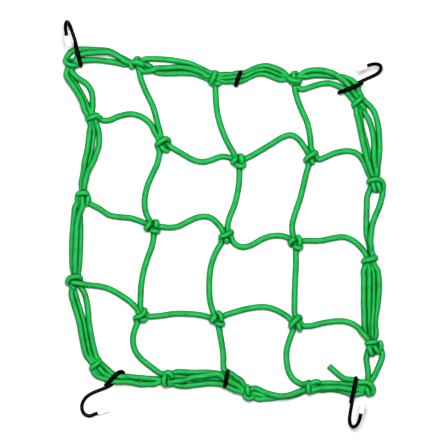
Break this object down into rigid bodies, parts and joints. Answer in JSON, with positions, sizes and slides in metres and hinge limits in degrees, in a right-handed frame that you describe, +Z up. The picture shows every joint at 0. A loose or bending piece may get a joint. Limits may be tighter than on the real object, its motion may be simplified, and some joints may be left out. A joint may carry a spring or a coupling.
{
  "type": "cargo net",
  "caption": "Square elastic cord cargo net, knotted in an open mesh with a bundled cord border, with wire hooks near its corners and plain wire rings on its edges.",
  "frame": {"origin": "under the middle knot of the net, on the surface that the net lies on", "axes": "+Z up from that surface, +Y towards the net's top edge as pictured, +X towards its right edge"},
  "size_m": [0.3225, 0.409, 0.024],
  "materials": {
    "cord": "braided elastic cord, bright green",
    "wire": "gloss black coated wire",
    "sleeve": "milky white soft sleeve"
  },
  "bodies": {
    "root": {"net": "cord", "hook_top_left": "wire", "hook_top_right": "wire", "hook_bottom_left": "wire", "hook_bottom_right": "wire", "tip_top_left": "sleeve", "tip_top_right": "sleeve", "tip_bottom_left": "sleeve", "tip_bottom_right": "sleeve", "ring_top": "wire", "ring_bottom": "wire"}
  },
  "joints": []
}
